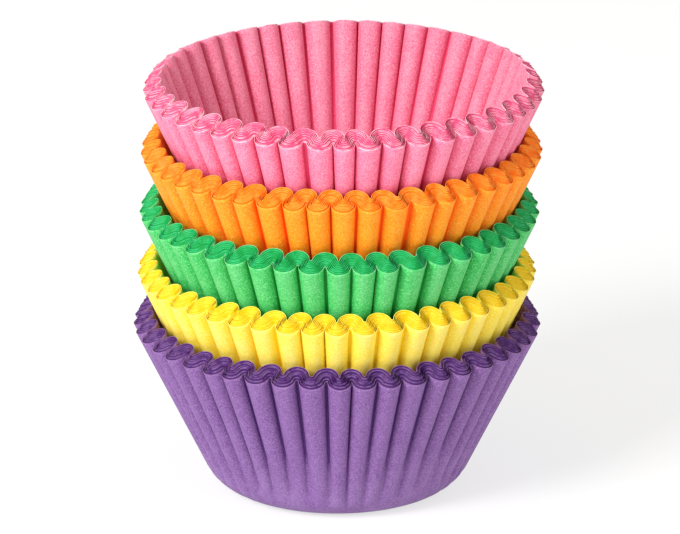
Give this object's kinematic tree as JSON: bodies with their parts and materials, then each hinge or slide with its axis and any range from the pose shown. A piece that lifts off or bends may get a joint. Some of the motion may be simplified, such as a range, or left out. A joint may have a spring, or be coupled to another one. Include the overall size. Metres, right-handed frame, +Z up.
{
  "type": "stack of cupcake liners",
  "caption": "Stack of fluted paper cupcake liners in nested bundles of purple, yellow, green, orange and pink",
  "frame": {"origin": "middle of the flat bottom of the lowest liner", "axes": "+Z up out of the cups, -Y front"},
  "size_m": [0.0793, 0.0788, 0.0826],
  "materials": {
    "purple_paper": "matte",
    "yellow_paper": "matte",
    "green_paper": "matte",
    "orange_paper": "matte",
    "pink_paper": "matte"
  },
  "bodies": {
    "root": {"purple_liner_01": "purple_paper", "purple_liner_02": "purple_paper", "purple_liner_03": "purple_paper", "purple_liner_04": "purple_paper", "purple_liner_05": "purple_paper", "purple_liner_06": "purple_paper", "purple_liner_07": "purple_paper", "purple_liner_08": "purple_paper", "purple_liner_09": "purple_paper", "yellow_liner_01": "yellow_paper", "yellow_liner_02": "yellow_paper", "yellow_liner_03": "yellow_paper", "yellow_liner_04": "yellow_paper", "yellow_liner_05": "yellow_paper", "yellow_liner_06": "yellow_paper", "yellow_liner_07": "yellow_paper", "yellow_liner_08": "yellow_paper", "yellow_liner_09": "yellow_paper", "green_liner_01": "green_paper", "green_liner_02": "green_paper", "green_liner_03": "green_paper", "green_liner_04": "green_paper", "green_liner_05": "green_paper", "green_liner_06": "green_paper", "green_liner_07": "green_paper", "green_liner_08": "green_paper", "green_liner_09": "green_paper", "orange_liner_01": "orange_paper", "orange_liner_02": "orange_paper", "orange_liner_03": "orange_paper", "orange_liner_04": "orange_paper", "orange_liner_05": "orange_paper", "orange_liner_06": "orange_paper", "orange_liner_07": "orange_paper", "orange_liner_08": "orange_paper", "orange_liner_09": "orange_paper", "pink_liner_01": "pink_paper", "pink_liner_02": "pink_paper", "pink_liner_03": "pink_paper", "pink_liner_04": "pink_paper", "pink_liner_05": "pink_paper", "pink_liner_06": "pink_paper", "pink_liner_07": "pink_paper", "pink_liner_08": "pink_paper", "pink_liner_09": "pink_paper"}
  },
  "joints": []
}
